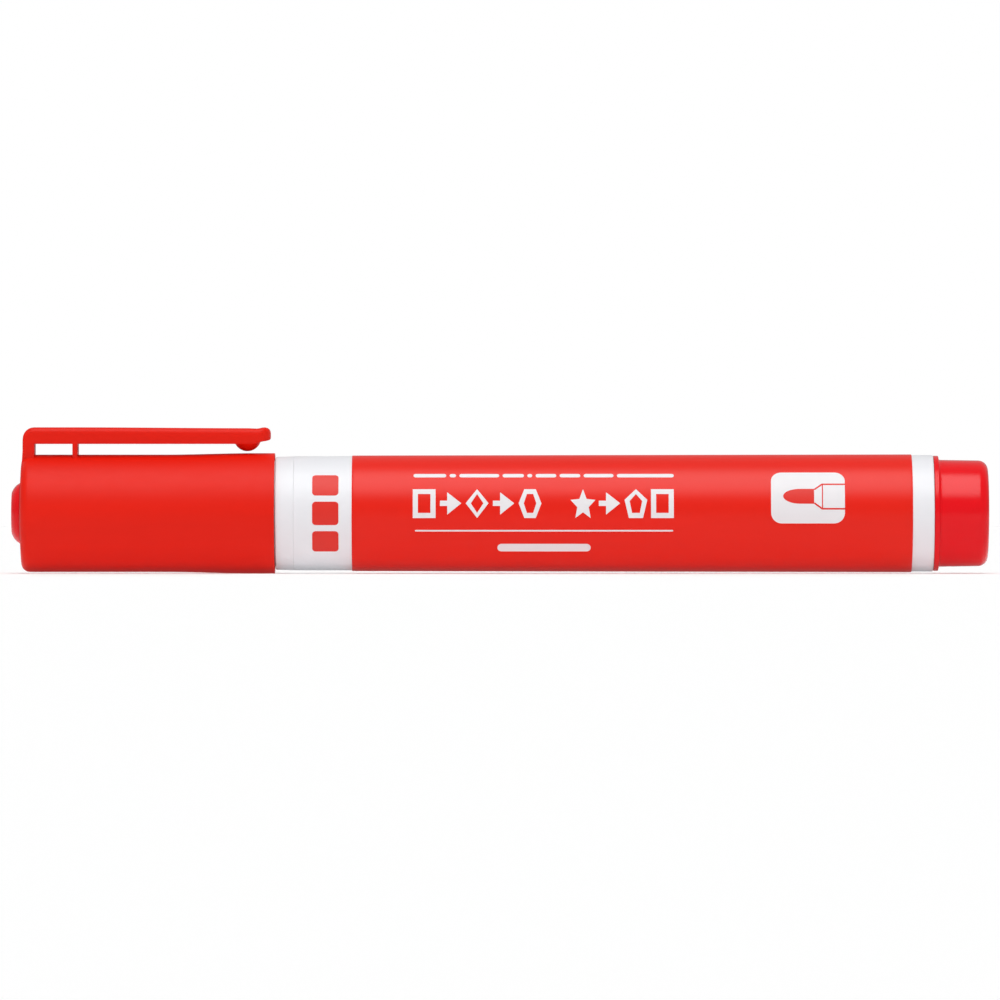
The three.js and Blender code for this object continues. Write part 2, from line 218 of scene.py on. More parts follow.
def turned_mesh(outline, sides=SIDES):
    """Closed turned bmesh about the X axis, from an outline that closes on itself or on the axis."""
    build = bmesh.new()
    rings = []
    for place, radius in outline:
        if radius < 1e-6:
            rings.append([build.verts.new((-place, 0, 0))])
            continue
        angles = [2 * math.pi * i / sides for i in range(sides)]
        rings.append([build.verts.new((-place, radius * math.sin(a), radius * math.cos(a))) for a in angles])
    on_axis = len(rings[0]) == 1 and len(rings[-1]) == 1
    pairs = list(zip(rings, rings[1:]))
    if not on_axis:
        pairs.append((rings[-1], rings[0]))
    for a, b in pairs:
        for i in range(sides):
            j = i + 1
            loop = [a[i % len(a)], a[j % len(a)], b[j % len(b)], b[i % len(b)]]
            corners = list(dict.fromkeys(loop))
            if len(corners) > 2:
                build.faces.new(corners)
    return build


def turned(name, corners, steps=5):
    return finished(name, turned_mesh(rounded(corners, steps)))


def block(name, low, high):
    """A box from its lowest to its highest corner."""
    build = bmesh.new()
    bmesh.ops.create_cube(build, size=1)
    for vert in build.verts:
        for k in range(3):
            vert.co[k] = high[k] if vert.co[k] > 0 else low[k]
    return finished(name, build)


def applied(piece):
    """Applies the piece's modifiers to its mesh."""
    evaluated = piece.evaluated_get(bpy.context.evaluated_depsgraph_get())
    mesh = bpy.data.meshes.new_from_object(evaluated)
    piece.modifiers.clear()
    piece.data = mesh
    return piece


def joined(piece, others):
    """Joins other closed pieces to this one as one solid, and removes them."""
    for other in others:
        union = piece.modifiers.new("union", "BOOLEAN")
        union.operation = "UNION"
        union.solver = "EXACT"
        union.object = other
    applied(piece)
    for other in others:
        bpy.data.objects.remove(other)
    piece.data.shade_smooth()
    piece.data.set_sharp_from_angle(angle=math.radians(SHARP_ANGLE))
    return piece


def add(piece, body, material, slot, *nodes):
    """Puts a finished piece in the frame: its body, its looks and the CAD nodes that it stands for."""
    piece.data.materials.clear()
    piece.data.materials.append(material)
    if nodes:
        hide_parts(*nodes)
    if body:
        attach(piece, body)
    return piece


def between(d, first, last):
    """The value at place d on the straight line from (place, value) first to last."""
    return first[1] + (last[1] - first[1]) * (d - first[0]) / (last[0] - first[0])


# ------------------------------------------------------------------ materials

def moulded(name, color, roughness, grain=700, grain_depth=0.004, sheen_and_tone_spread=0.06, specular=0.4):
    """Injection-moulded plastic: a faint orange-peel surface, uneven gloss, and lighter and darker colour
    bands along the marker, partly the plastic's own uneven tone and partly painted reflection.
    """
    material = bpy.data.materials.new(name)
    material.use_nodes = True
    nodes, links = material.node_tree.nodes, material.node_tree.links
    shader = nodes["Principled BSDF"]
    shader.inputs["Specular IOR Level"].default_value = specular
    coordinates = nodes.new("ShaderNodeTexCoord")

    # Bands stretched along the marker, lighter and darker in colour: partly the plastic's own uneven tone,
    # partly a painted reflection of the light.
    axis_stretch = nodes.new("ShaderNodeMapping")
    axis_stretch.inputs["Scale"].default_value = (0.06, 1, 1)
    links.new(coordinates.outputs["Object"], axis_stretch.inputs["Vector"])
    tone_and_sheen_noise = nodes.new("ShaderNodeTexNoise")
    tone_and_sheen_noise.inputs["Scale"].default_value = 320
    tone_and_sheen_noise.inputs["Detail"].default_value = 3
    links.new(axis_stretch.outputs["Vector"], tone_and_sheen_noise.inputs["Vector"])
    tone_and_sheen_mix = nodes.new("ShaderNodeMix")
    tone_and_sheen_mix.data_type = "RGBA"
    tone_and_sheen_mix.inputs["A"].default_value = (*[c * (1 - sheen_and_tone_spread) for c in color], 1)
    tone_and_sheen_mix.inputs["B"].default_value = (*[min(1, c * (1 + sheen_and_tone_spread)) for c in color], 1)
    links.new(tone_and_sheen_noise.outputs["Fac"], tone_and_sheen_mix.inputs["Factor"])
    links.new(tone_and_sheen_mix.outputs["Result"], shader.inputs["Base Color"])

    peel = nodes.new("ShaderNodeTexNoise")
    peel.inputs["Scale"].default_value = grain
    peel.inputs["Detail"].default_value = 4
    links.new(coordinates.outputs["Object"], peel.inputs["Vector"])
    gloss = nodes.new("ShaderNodeMapRange")
    gloss.inputs["To Min"].default_value = roughness - 0.05
    gloss.inputs["To Max"].default_value = roughness + 0.05
    links.new(peel.outputs["Fac"], gloss.inputs["Value"])
    links.new(gloss.outputs["Result"], shader.inputs["Roughness"])
    bump = nodes.new("ShaderNodeBump")
    bump.inputs["Strength"].default_value = 0.5
    bump.inputs["Distance"].default_value = grain_depth * MM
    links.new(peel.outputs["Fac"], bump.inputs["Height"])
    links.new(bump.outputs["Normal"], shader.inputs["Normal"])
    return material


def fibrous(name, color, wet):
    """Fibre soaked in ink: fine strands along the marker, matt, with the strands' own uneven ink tone and
    painted shade darkening the hollows between them.
    """
    material = bpy.data.materials.new(name)
    material.use_nodes = True
    nodes, links = material.node_tree.nodes, material.node_tree.links
    shader = nodes["Principled BSDF"]
    shader.inputs["Roughness"].default_value = 0.95 - 0.35 * wet
    shader.inputs["Specular IOR Level"].default_value = 0.3
    coordinates = nodes.new("ShaderNodeTexCoord")
    stretch = nodes.new("ShaderNodeMapping")
    stretch.inputs["Scale"].default_value = (0.12, 1, 1)
    links.new(coordinates.outputs["Object"], stretch.inputs["Vector"])
    strands = nodes.new("ShaderNodeTexNoise")
    strands.inputs["Scale"].default_value = 5200
    strands.inputs["Detail"].default_value = 5
    links.new(stretch.outputs["Vector"], strands.inputs["Vector"])
    # Painted shade: the colour is darkest where the strand noise is lowest, in the bump's hollows, on top of
    # the strands' uneven ink tone.
    shade = nodes.new("ShaderNodeMix")
    shade.data_type = "RGBA"
    shade.inputs["A"].default_value = (*[c * 0.55 for c in color], 1)
    shade.inputs["B"].default_value = (*[min(1, c * 1.25) for c in color], 1)
    links.new(strands.outputs["Fac"], shade.inputs["Factor"])
    links.new(shade.outputs["Result"], shader.inputs["Base Color"])
    bump = nodes.new("ShaderNodeBump")
    bump.inputs["Strength"].default_value = 0.7
    bump.inputs["Distance"].default_value = 0.05 * MM
    links.new(strands.outputs["Fac"], bump.inputs["Height"])
    links.new(bump.outputs["Normal"], shader.inputs["Normal"])
    return material


def clear_film(name):
    """Thin clear plastic film."""
    material = bpy.data.materials.new(name)
    material.use_nodes = True
    nodes, links = material.node_tree.nodes, material.node_tree.links
    shader = nodes["Principled BSDF"]
    shader.inputs["Base Color"].default_value = (0.86, 0.82, 0.82, 1)
    shader.inputs["Alpha"].default_value = 0.35
    coordinates = nodes.new("ShaderNodeTexCoord")
    crinkle = nodes.new("ShaderNodeTexNoise")
    crinkle.inputs["Scale"].default_value = 400
    links.new(coordinates.outputs["Object"], crinkle.inputs["Vector"])
    gloss = nodes.new("ShaderNodeMapRange")
    gloss.inputs["To Min"].default_value = 0.1
    gloss.inputs["To Max"].default_value = 0.22
    links.new(crinkle.outputs["Fac"], gloss.inputs["Value"])
    links.new(gloss.outputs["Result"], shader.inputs["Roughness"])
    return material


CAP_RED = moulded("cap_red_plastic", (0.78, 0.011, 0.002), 0.46, specular=0.16)
CRIMSON = moulded("crimson_plastic", (0.80, 0.003, 0.008), 0.16, grain_depth=0.002, specular=0.21)
WHITE = moulded("white_plastic", (0.835, 0.84, 0.87), 0.34, sheen_and_tone_spread=0.015, specular=0.3)
FILM_RED = moulded(
    "printed_red_film", (0.80, 0.011, 0.002), 0.34, grain=1600, grain_depth=0.002, specular=0.23,
)
WHITE_INK = moulded("white_ink", (0.82, 0.80, 0.82), 0.45, grain=3000, grain_depth=0.002, sheen_and_tone_spread=0.01)
RED_INK = moulded("red_ink", (0.74, 0.018, 0.008), 0.45, grain=3000, grain_depth=0.002)
MILKY = moulded("milky_polyethylene", (0.78, 0.76, 0.70), 0.5, sheen_and_tone_spread=0.03)
NIB_FIBRE = fibrous("inked_nib_fibre", (0.45, 0.008, 0.012), 0.6)
BUNDLE_FIBRE = fibrous("reservoir_fibre", (0.55, 0.03, 0.04), 0.2)
WRAP_FILM = clear_film("reservoir_wrap_film")


# ------------------------------------------------------------------ barrel assembly

def barrel_radius(d):
    return between(d, (BARREL_BACK, BARREL_BACK_RADIUS), (BARREL_FRONT, BARREL_FRONT_RADIUS))


def film_radius(d):
    return barrel_radius(d) + FILM_TOP


def barrel_tube():
    return turned("barrel_tube", [
        (BARREL_BACK, BARREL_BORE_BACK, 0.1),
        (BARREL_BACK, BARREL_BACK_RADIUS, 0.15),
        (BARREL_FRONT, BARREL_FRONT_RADIUS, 0.03),
        (BARREL_FRONT, BARREL_BORE_FRONT, 0.1),
    ])


def printed_film():
    """The film's two ends are slightly rounded, so that its edge catches the light."""
    return turned("printed_film", [
        (FILM_BACK, barrel_radius(FILM_BACK) + FILM_GAP),
        (FILM_BACK, film_radius(FILM_BACK), 0.03),
        (FILM_FRONT, film_radius(FILM_FRONT), 0.03),
        (FILM_FRONT, barrel_radius(FILM_FRONT) + FILM_GAP),
    ], steps=2)


def tail_plug():
    plug = turned("tail_end_plug", [
        (0, 0),
        (0, PLUG_TIP_RADIUS, 1.35),
        (FLANGE_BACK, PLUG_ROOT_RADIUS, 0.3),
        (FLANGE_BACK, FLANGE_RADIUS, 0.12),
        (FLANGE_FRONT, FLANGE_RADIUS, 0.1),
        (FLANGE_FRONT, PLUG_SPIGOT_RADIUS),
        (PLUG_SPIGOT_END, PLUG_SPIGOT_RADIUS, 0.4),
        (PLUG_SPIGOT_END, PLUG_BORE_RADIUS, 0.2),
        (PLUG_WALL, PLUG_BORE_RADIUS, 0.5),
        (PLUG_WALL, 0),
    ], steps=7)
    half, reach = PLUG_RIB_HALF, PLUG_BORE_RADIUS + 0.3
    upright = block("rib_a", (-PLUG_RIB_END, -half, -reach), (-PLUG_RIB_START, half, reach))
    level = block("rib_b", (-PLUG_RIB_END, -reach, -half), (-PLUG_RIB_START, reach, half))
    return joined(plug, [upright, level])


def front_section():
    return turned("nib_holder", [
        (NOSE, NIB_BORE_RADIUS, 0.08),
        (NOSE, 2.72, 0.15),
        (NECK_FRONT, 4.0, 0.4),
        (NECK_BACK, NECK_RADIUS, 0.15),
        (NECK_BACK - 0.4, NECK_RADIUS + 0.5, 0.2),
        (SEAT_FRONT + 0.5, SEAT_RADIUS - 0.5, 0.25),
        (SEAT_FRONT, SEAT_RADIUS, 0.25),
        (SNAP_BEAD + BEAD_HALF, SEAT_RADIUS),
        (SNAP_BEAD, SEAT_RADIUS + 0.06, 0.5),
        (SNAP_BEAD - BEAD_HALF, SEAT_RADIUS),
        (COLLAR_FRONT, SEAT_RADIUS),
        (COLLAR_FRONT, 7.97, 0.08),
        (COLLAR_BACK, BARREL_FRONT_RADIUS - 0.01, 0.03),
        (COLLAR_BACK, SPIGOT_RADIUS),
        (SPIGOT_BACK, SPIGOT_RADIUS, 0.3),
        (SPIGOT_BACK, SPIGOT_BORE_RADIUS, 0.1),
        (SPIGOT_BORE_FRONT, SPIGOT_BORE_RADIUS),
        (SPIGOT_BORE_FRONT, SPIGOT_BORE_RADIUS - 1),
        (107, NIB_BORE_RADIUS + 0.6),
        (107.6, NIB_BORE_RADIUS),
    ])


def nib():
    steps = 24
    nose = []
    for i in range(steps + 1):
        angle = math.pi / 2 * i / steps
        nose.append((NIB_TIP - BULLET_LENGTH * (1 - math.cos(angle)), NIB_RADIUS * math.sin(angle)))
    stake = [(103, NIB_RADIUS), (NIB_BACK + 0.5, NIB_STAKE_RADIUS), (NIB_BACK, 0.7), (NIB_BACK, 0)]
    return finished("felt_nib", turned_mesh(nose + stake, 96))


# ------------------------------------------------------------------ cap assembly

def cap_radius(d):
    """Outer radius of the cap, which flares smoothly at its mouth."""
    share = min(1, max(0, (FLARE_FRONT - d) / (FLARE_FRONT - FLARE_BACK)))
    return CAP_RADIUS + (CAP_MOUTH_RADIUS - CAP_RADIUS) * share * share * (3 - 2 * share)


def cap_bore(d):
    return between(d, (CAP_MOUTH, CAP_BORE_MOUTH), (CAP_END, CAP_BORE_END))


def cap_shell():
    flare_steps = 24
    flare_places = [between(i, (0, FLARE_BACK), (flare_steps, FLARE_FRONT)) for i in range(flare_steps + 1)]
    shell = turned("cap_outer", [
        (END_WALL, CAP_EYE_RADIUS, 0.1),
        (END_WALL, cap_bore(END_WALL), 0.4),
        (CAP_BEAD + BEAD_HALF, cap_bore(CAP_BEAD + BEAD_HALF)),
        (CAP_BEAD, CAP_BEAD_RADIUS, 0.5),
        (CAP_BEAD - BEAD_HALF, cap_bore(CAP_BEAD - BEAD_HALF)),
        (CAP_MOUTH + 0.3, CAP_BORE_MOUTH),
        (CAP_MOUTH, CAP_BORE_MOUTH + 0.2, 0.06),
        (CAP_MOUTH, CAP_MOUTH_RADIUS, 0.06),
        *[(d, cap_radius(d)) for d in flare_places],
        (CAP_END, CAP_RADIUS, 1.15),
        (CAP_END + CAP_RISE, CROWN_RADIUS),
        (CAP_END + CAP_RISE, CAP_EYE_RADIUS, 0.12),
    ], steps=8)
    ribs = []
    low = (-LINER_FLOOR + 0.25, -CAP_RIB_HALF, LINER_RADIUS + 0.1)
    high = (-CAP_RIB_BACK, CAP_RIB_HALF, CAP_RIB_TOP)
    for i in range(CAP_RIBS):
        rib = block("cap_rib", low, high)
        rib.rotation_euler.x = math.radians((i + 0.5) * 360 / CAP_RIBS)
        ribs.append(rib)
    bpy.context.view_layer.update()
    return joined(shell, ribs)


def crown():
    base = CAP_END + CAP_RISE + 0.03
    shoulder = []
    for degrees in range(CROWN_SHOULDER_FOOT, CROWN_SHOULDER_TOP - 1, -2):
        turn = math.radians(degrees)
        place = CROWN_SHOULDER_CENTRE[0] + CROWN_SHOULDER_RADIUS * math.cos(turn)
        shoulder.append((place, CROWN_SHOULDER_CENTRE[1] + CROWN_SHOULDER_RADIUS * math.sin(turn)))
    return turned("cap_end_button", [
        (LINER_FLOOR + 0.05, 0),
        (LINER_FLOOR + 0.05, CROWN_STEM_RADIUS, 0.2),
        (base, CROWN_STEM_RADIUS),
        (base, CROWN_RADIUS),
        *shoulder,
        (CROWN_FACE, CROWN_FACE_RADIUS, 0.08),
        (CROWN_FACE, 0),
    ])


def inner_cap():
    return turned("seal_cup", [
        (LINER_FLOOR_INSIDE, 0),
        (LINER_FLOOR_INSIDE, LINER_BORE_RADIUS, 0.4),
        (115.8, LINER_BORE_RADIUS),
        (115.2, LINER_SEAL_RADIUS, 0.1),
        (112.0, LINER_SEAL_RADIUS, 0.1),
        (LINER_MOUTH, LINER_SEAL_RADIUS + 0.4, 0.1),
        (LINER_MOUTH, 5.1, 0.1),
        (LINER_MOUTH + 0.6, LINER_RADIUS, 0.2),
        (LINER_FLOOR, LINER_RADIUS),
        (LINER_FLOOR, LINER_FLANGE_RADIUS, 0.2),
        (END_WALL - 0.05, LINER_FLANGE_RADIUS, 0.2),
        (END_WALL - 0.05, LINER_HOLE_RADIUS),
        (LINER_FLOOR, LINER_HOLE_RADIUS),
        (LINER_FLOOR, 0),
    ])


def clip_ring_places():
    """Places of the clip's cross-sections, from the cap's end to the tip."""
    end = CAP_END - CLIP_POST_LEAN
    bend = [end - CLIP_BEND * (1 - math.sin(math.radians(a))) for a in range(90, -1, -15)]
    flex = [STRUT_BACK - 0.7 * i for i in range(1, 7)]
    arm = [120, 116, 112, 109, 107, 105.5, 104.5, 104, 103.5, 103.1, 102.8]
    tip = [CLIP_TIP + CLIP_TIP_CORNER * (1 - math.sin(math.radians(a))) for a in range(0, 76, 15)]
    return [*bend, CLIP_POST_BACK, STRUT_FRONT, STRUT_BACK, *flex, *arm, *tip, CLIP_TIP]


def corner_loss(reach, radius):
    """How far a rounded corner falls short of its flat side, at a reach past the start of its rounding."""
    return radius - math.sqrt(radius ** 2 - min(radius, max(0, reach)) ** 2)


def clip_half_width(d):
    """Half the clip's width: it narrows from the strut to a tip that is rounded in plan."""
    along = min(d, STRUT_BACK)
    width = between(along, (STRUT_BACK, CLIP_HALF_WIDTH), (CLIP_TIP, CLIP_TIP_HALF_WIDTH))
    return width - corner_loss(CLIP_TIP + CLIP_TIP_CORNER - d, CLIP_TIP_CORNER)


def along_points(d, points):
    """Smooth height at place d through a few (place, height) points, given from the cap's end."""
    for first, last in zip(points, points[1:]):
        if d >= last[0]:
            share = min(1, max(0, (first[0] - d) / (first[0] - last[0])))
            return first[1] + (last[1] - first[1]) * share * share * (3 - 2 * share)
    return points[-1][1]


def clip_top(d):
    """Height of the clip's top: rounded at the cap's end, with a shallow dip before the turned-up tip."""
    drops = [(STRUT_BACK, 0), (104.5, 0.12), (103.1, 0.17), (102.1, 0)]
    arm = [(place, CLIP_TOP - drop) for place, drop in drops]
    at_end = corner_loss(d - (CAP_END - CLIP_POST_LEAN - CLIP_BEND), CLIP_BEND)
    return along_points(d, arm) - at_end - corner_loss(CLIP_TIP + CLIP_TIP_EDGE - d, CLIP_TIP_EDGE)


def clip_underside(d):
    """Height of the clip's underside: sloped in the bend above the post, and raised at the tip."""
    rises = [(103.6, 0), (102.3, 0.36), (CLIP_TIP, CLIP_TIP_RISE)]
    arm = [(place, CLIP_UNDERSIDE + rise) for place, rise in rises]
    into_bend = max(0, d - (CAP_END - CLIP_POST_LEAN - CLIP_BEND))
    tip_corner = corner_loss(CLIP_TIP + CLIP_TIP_LOWER_EDGE - d, CLIP_TIP_LOWER_EDGE)
    return along_points(d, arm) - CLIP_BEND_SLOPE * into_bend + tip_corner


def clip_ring(d):
    """Corners of the clip's cross-section at place d: the two lower ones first, then up and over the top."""
    half, low, high = clip_half_width(d), clip_underside(d), clip_top(d)
    edge = min(CLIP_EDGE_RADIUS, 0.45 * (high - low), 0.8 * half)
    corners = [(-half, low), (half, low)]
    for side, angles in ((1, range(0, 91, 15)), (-1, range(90, 181, 15))):
        for a in angles:
            turn = math.radians(a)
            across = side * (half - edge) + edge * math.cos(turn)
            corners.append((across, high - edge + edge * math.sin(turn)))
    return corners


def clip_body():
    """Post, arm and strut in one mesh: rings joined along the clip, with two legs grown downwards."""
    build = bmesh.new()
    places = clip_ring_places()
    rings = [[build.verts.new((-d, y, z)) for y, z in clip_ring(d)] for d in places]
    build.faces.new(rings[0])
    build.faces.new(rings[-1])
    legs = []
    for d, ring in zip(places, rings):
        if STRUT_FRONT < d < CLIP_POST_BACK or d < STRUT_BACK:
            legs.append(None)
            continue
        foot = CLIP_FOOT
        if d > END_WALL:
            foot = between(d, (END_WALL, CLIP_FOOT - 0.2), (places[0], CLIP_POST_FOOT))
        foot_place = CAP_END if d == places[0] else d
        legs.append([build.verts.new((-foot_place, vert.co.y, foot)) for vert in ring[:2]])
    for i, (ring, following) in enumerate(zip(rings, rings[1:])):
        count = len(ring)
        for k in range(1, count):
            build.faces.new((ring[k], ring[(k + 1) % count], following[(k + 1) % count], following[k]))
        leg, leg_following = legs[i], legs[i + 1]
        if leg and leg_following and places[i] != CLIP_POST_BACK:
            build.faces.new((ring[0], leg[0], leg_following[0], following[0]))
            build.faces.new((ring[1], leg[1], leg_following[1], following[1]))
            build.faces.new((leg[0], leg[1], leg_following[1], leg_following[0]))
        else:
            build.faces.new((ring[0], ring[1], following[1], following[0]))
    for place in (places[0], CLIP_POST_BACK, STRUT_FRONT, STRUT_BACK):
        i = places.index(place)
        build.faces.new((rings[i][0], rings[i][1], legs[i][1], legs[i][0]))
    return finished("pocket_clip", build)


def bump():
    """The ball under the clip's tip, cut off above inside the arm."""
    build = bmesh.new()
    bmesh.ops.create_uvsphere(build, u_segments=64, v_segments=40, radius=BUMP_RADIUS)
    bmesh.ops.translate(build, vec=(-BUMP_PLACE, 0, BUMP_HEIGHT), verts=build.verts)
    ceiling = CLIP_UNDERSIDE + 1
    cut = bmesh.ops.bisect_plane(
        build, geom=build.verts[:] + build.edges[:] + build.faces[:],
        plane_co=(0, 0, ceiling), plane_no=(0, 0, 1), clear_outer=True,
    )
    rim = [edge for edge in cut["geom_cut"] if isinstance(edge, bmesh.types.BMEdge)]
    bmesh.ops.contextual_create(build, geom=rim)
    return finished("clip_bump", build)


def pocket_clip():
    clip = clip_body()
    bevel = clip.modifiers.new("soft_edges", "BEVEL")
    bevel.width = CLIP_BEVEL * MM
    bevel.segments = 3
    bevel.limit_method = "ANGLE"
    bevel.angle_limit = math.radians(40)
    return joined(applied(clip), [bump()])


# ------------------------------------------------------------------ print

PANEL_MIDDLE = 25.56  # place of the white panel that carries the sign
PANEL_RISE = 2.45  # its middle, above the front line
PANEL_WIDTH = 10.37
PANEL_HEIGHT = 7.73


def mirrored(points):
    """An outline that is symmetrical about its own middle line, from its upper half."""
    return points + [(d, -u) for d, u in reversed(points) if u != 0]


def shifted(outline, d, u):
    return [(x + d, y + u) for x, y in outline]


def regular(sides, radius, turn=0):
    """A regular polygon about the origin."""
    angles = [math.radians(turn) + 2 * math.pi * i / sides for i in range(sides)]
    return [(radius * math.cos(a), radius * math.sin(a)) for a in angles]


def rounded_box(width, height, radius, steps=8):
    """A rounded rectangle about the origin."""
    outline = []
    for quarter, (x, y) in enumerate(((1, 1), (-1, 1), (-1, -1), (1, -1))):
        for step in range(steps + 1):
            a = math.pi / 2 * (quarter + step / steps)
            outline.append((
                x * (width / 2 - radius) + radius * math.cos(a),
                y * (height / 2 - radius) + radius * math.sin(a),
            ))
    return outline


def star(radius):
    points = []
    for i in range(10):
        reach = radius if i % 2 == 0 else radius * 0.46
        a = math.radians(90 + 36 * i)
        points.append((reach * math.cos(a), reach * math.sin(a)))
    return points


def arrow(length, height, shaft):
    """An arrow that points towards the tail."""
    neck = height * 0.62 - length / 2
    return mirrored([(-length / 2, 0), (neck, height / 2), (neck, shaft / 2), (length / 2, shaft / 2)])


def fitted(outline, width, height):
    """The outline stretched to a width and height, about the middle of its own box."""
    lows = [min(point[k] for point in outline) for k in (0, 1)]
    highs = [max(point[k] for point in outline) for k in (0, 1)]
    scales = (width / (highs[0] - lows[0]), height / (highs[1] - lows[1]))
    middles = [(low + high) / 2 for low, high in zip(lows, highs)]
    return [tuple((p[k] - middles[k]) * scales[k] for k in (0, 1)) for p in outline]


def fill(build, outline):
    """Fills a flat outline of (place, height round the barrel from the front line)."""
    face = build.faces.new([build.verts.new((d, u, 0)) for d, u in outline])
    bmesh.ops.triangulate(build, faces=[face])


def frame_of(build, outer, inner):
    """Fills between two flat outlines with the same number of points."""
    outside = [build.verts.new((d, u, 0)) for d, u in outer]
    inside = [build.verts.new((d, u, 0)) for d, u in inner]
    count = len(outer)
    for i in range(count):
        j = (i + 1) % count
        build.faces.new((outside[i], outside[j], inside[j], inside[i]))


def wrapped(name, build, radius_at, low, high):
    """Bends flat shapes round the marker and thickens them from height low to high above its surface."""
    heights = [vert.co.y for vert in build.verts]
    step = 0.3
    for k in range(math.ceil(min(heights) / step), math.ceil(max(heights) / step)):
        bmesh.ops.bisect_plane(
            build, geom=build.verts[:] + build.edges[:] + build.faces[:],
            plane_co=(0, k * step, 0), plane_no=(0, 1, 0), dist=1e-5,
        )
    thick = bmesh.ops.extrude_face_region(build, geom=build.faces[:])
    for vert in thick["geom"]:
        if isinstance(vert, bmesh.types.BMVert):
            vert.co.z = 1
    for vert in build.verts:
        d, u, upper = vert.co
        radius = radius_at(d) + (high if upper > 0.5 else low)
        angle = u / radius_at(d)
        vert.co = (-d, -radius * math.cos(angle), radius * math.sin(angle))
    return finished(name, build, 60)


def print_symbols(build):
    """A row of plain shapes and arrows, in two groups."""
    height = 4.15
    width = 3.2
    middle = 1.42
    line = 0.72
    shaft = 0.75
    pitch = 3.72
    first = 79.5
    outlines = {
        "square": regular(4, 1, 45),
        "diamond": regular(4, 1),
        "hexagon": regular(6, 1),
        "pentagon": regular(5, 1, 90),
    }
    row = ["square", "arrow", "diamond", "arrow", "hexagon", "gap", "star", "arrow", "pentagon", "square"]
    for i, kind in enumerate(row):
        place = first - i * pitch
        if kind == "arrow":
            fill(build, shifted(arrow(width - 0.2, width, shaft), place, middle))
        elif kind == "star":
            fill(build, shifted(fitted(star(1), width + 0.3, height), place, middle))
        elif kind in outlines:
            outer = fitted(outlines[kind], width, height)
            inner = fitted(outlines[kind], width - 2 * line, height - 2 * line)
            frame_of(build, shifted(outer, place, middle), shifted(inner, place, middle))


def print_dashes(build):
    """A broken line of short rounded dashes above the symbols."""
    lengths = [4.6, 0.9, 5.6, 3.0, 0.7, 2.9, 2.9, 4.2, 8.0]
    whole = 36.6
    thickness = 0.62
    middle = 5.75
    start = 81.0
    gap = (whole - sum(lengths)) / (len(lengths) - 1)
    for length in lengths:
        fill(build, shifted(rounded_box(length, thickness, 0.3, 4), start - length / 2, middle))
        start -= length + gap


def print_rule_and_bar(build):
    """A thin rule below the symbols, and a short thick bar below the rule."""
    place = 62.65
    fill(build, shifted(rounded_box(36.3, 0.22, 0.1, 2), place, -2.47))
    fill(build, shifted(rounded_box(13.1, 1.3, 0.6), place, -5.15))


def white_print():
    build = bmesh.new()
    print_symbols(build)
    print_dashes(build)
    print_rule_and_bar(build)
    fill(build, shifted(rounded_box(PANEL_WIDTH, PANEL_HEIGHT, 1.5), PANEL_MIDDLE, PANEL_RISE))
    return wrapped("white_print", build, film_radius, INK_ROOT, INK_HEIGHT)


def bullet_sign():
    """The sign on the white panel: a bullet nib, its holder and the end of a barrel, in outline."""
    build = bmesh.new()
    line = 0.23
    nib_half = 1.09
    nib_tip = 29.05
    nose_length = 2.4
    nib_end = 24.7
    barrel_half = 1.92
    barrel_end = 23.6
    joint_width = 0.15
    edge = PANEL_MIDDLE - PANEL_WIDTH / 2
    nose = []
    for degrees in range(0, 91, 10):
        turn = math.radians(degrees)
        nose.append((nib_tip - nose_length * (1 - math.cos(turn)), nib_half * math.sin(turn)))
    fill(build, shifted(mirrored([*nose, (nib_end, nib_half)]), 0, PANEL_RISE))
    for side in (1, -1):
        outer = [
            (nib_end, side * (nib_half + 0.02)),
            (barrel_end, side * barrel_half),
            (edge, side * barrel_half),
        ]
        inner = [(d - 0.3 * line, u - side * line) for d, u in reversed(outer)]
        inner[0] = (edge, side * (barrel_half - line))
        fill(build, shifted(outer + inner, 0, PANEL_RISE))
    inside = 2 * (barrel_half - line - 0.01)
    joint = fitted(regular(4, 1, 45), joint_width, inside)
    fill(build, shifted(joint, barrel_end - joint_width / 2, PANEL_RISE))
    return wrapped("bullet_sign", build, film_radius, 0.0, INK_HEIGHT + 0.015)


def colour_marks():
    """Three red squares on the white barrel, which show the ink's colour."""
    build = bmesh.new()
    place = 93.4
    pitch = 4.2
    for k in (-1, 0, 1):
        fill(build, shifted(rounded_box(3.7, 3.3, 0.5), place, pitch * k))
    return wrapped("colour_marks", build, barrel_radius, INK_ROOT, INK_HEIGHT)


# ------------------------------------------------------------------ floor, light and camera

STRIP_ELEVATION = 65  # degrees above the horizon in front, of the strip's middle
STRIP_CORE = 10  # degrees to each side of its middle, where it starts to fade
STRIP_REACH = 36  # degrees to each side of its middle, where it ends
STRIP_WIDTH = 0.22  # half of it, as a share of the distance
STRIP_FEATHER = 0.04  # half the width of the strip's soft edge, as the same share
STRIP_STRENGTH = 5.2
AMBIENT_STRENGTH = 0.43
FLOOR_COLOR = (0.82, 0.82, 0.82, 1)
FLOOR_GLOW = 0.2
CAMERA_LENS = 424
CAMERA_LOCATION = (-0.06884, -1.663, 0.00188)


def stage_floor():
    """A pale floor that glows a little, as a light table does, so the marker's underside isn't dark."""
    build = bmesh.new()
    bmesh.ops.create_grid(build, x_segments=1, y_segments=1, size=3000)
    bmesh.ops.translate(build, vec=(0, 0, -CAP_MOUTH_RADIUS), verts=build.verts)
    floor = finished("floor", build)
    paint = bpy.data.materials.new("pale_floor")
    paint.use_nodes = True
    shader = paint.node_tree.nodes["Principled BSDF"]
    shader.inputs["Base Color"].default_value = FLOOR_COLOR
    shader.inputs["Roughness"].default_value = 1
    shader.inputs["Emission Color"].default_value = (1, 1, 1, 1)
    shader.inputs["Emission Strength"].default_value = FLOOR_GLOW
    shader.inputs["Specular IOR Level"].default_value = 0
    floor.data.materials.append(paint)


